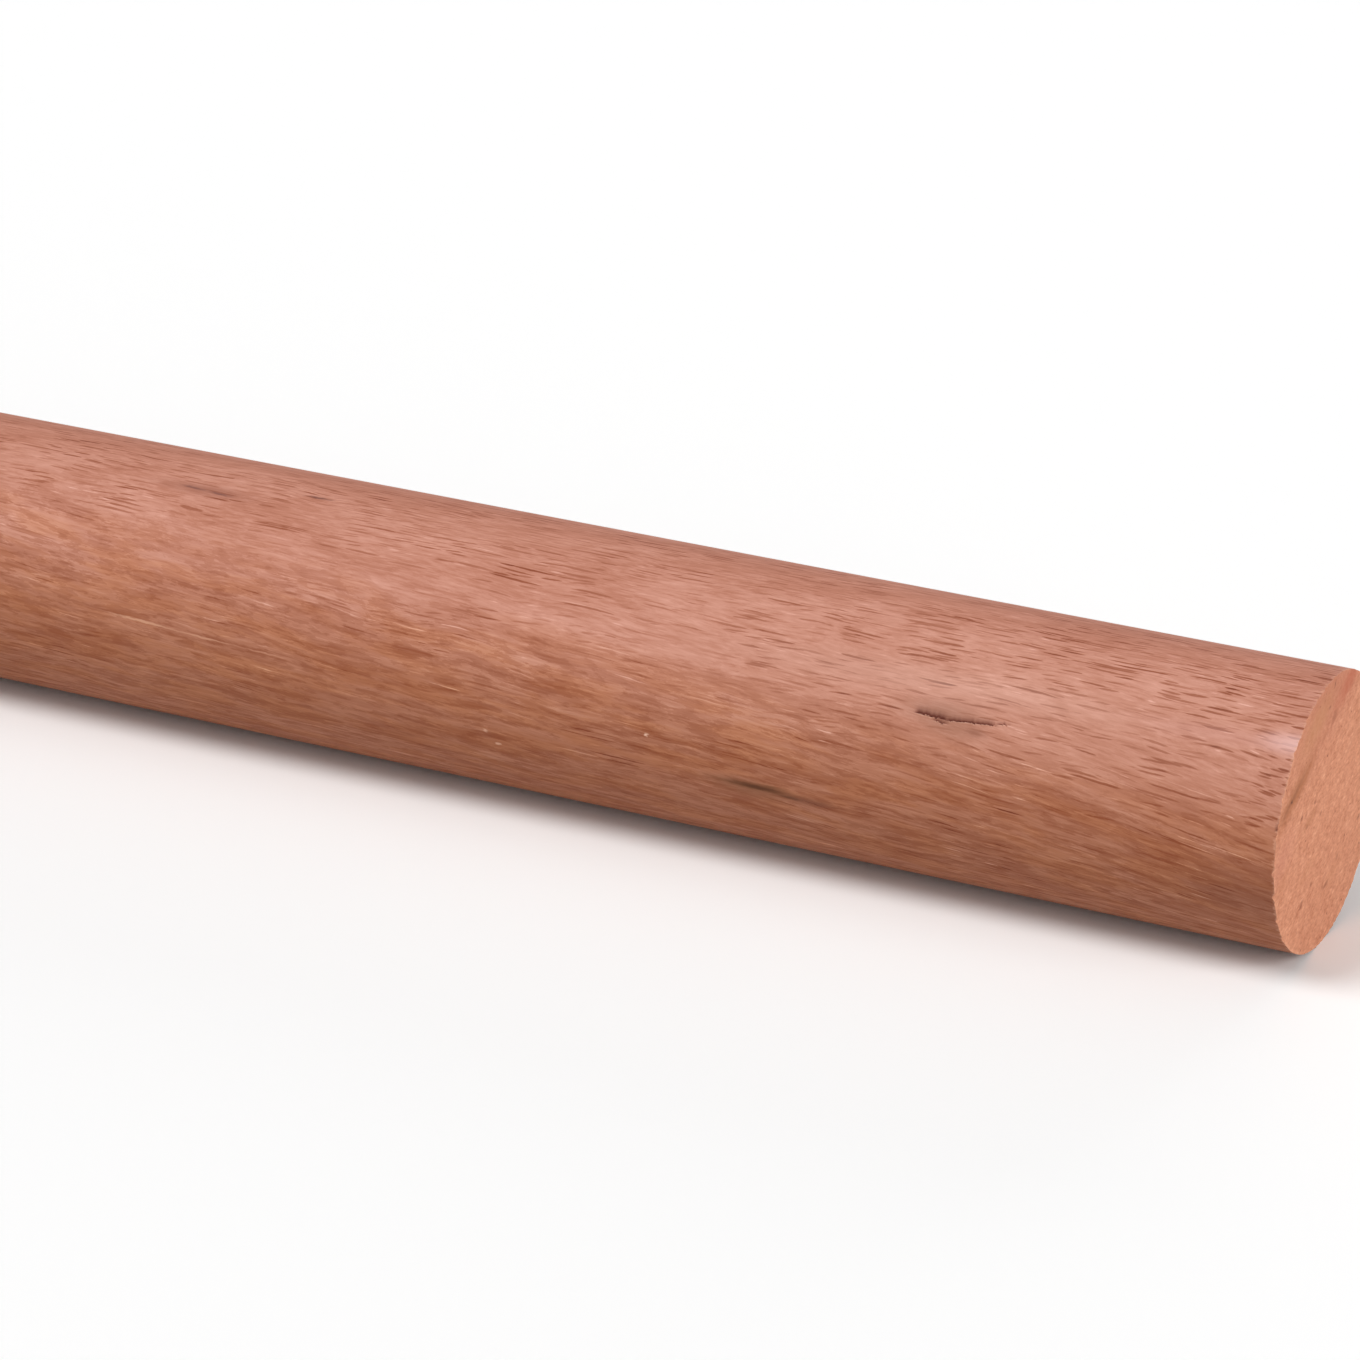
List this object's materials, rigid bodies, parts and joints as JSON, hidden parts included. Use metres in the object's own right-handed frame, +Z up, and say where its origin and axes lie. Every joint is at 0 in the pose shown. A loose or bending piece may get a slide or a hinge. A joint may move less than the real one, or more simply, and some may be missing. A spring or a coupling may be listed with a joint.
{
  "type": "round wooden stair handrail length",
  "caption": "Straight round hardwood handrail stock for a stair, planed smooth along its length and cross-cut square at both ends, to be held on wall brackets.",
  "frame": {"origin": "on the floor under the middle of the rail, which is the middle of the line that the rail lies on", "axes": "+X along the rail towards the sawn end that the picture shows, +Z up from the floor, -Y towards the side that the picture shows"},
  "size_m": [2.4, 0.0448, 0.045],
  "materials": {
    "hardwood": "planed and sanded bare, sawn at the ends"
  },
  "bodies": {
    "root": {"handrail": "hardwood"}
  },
  "joints": []
}
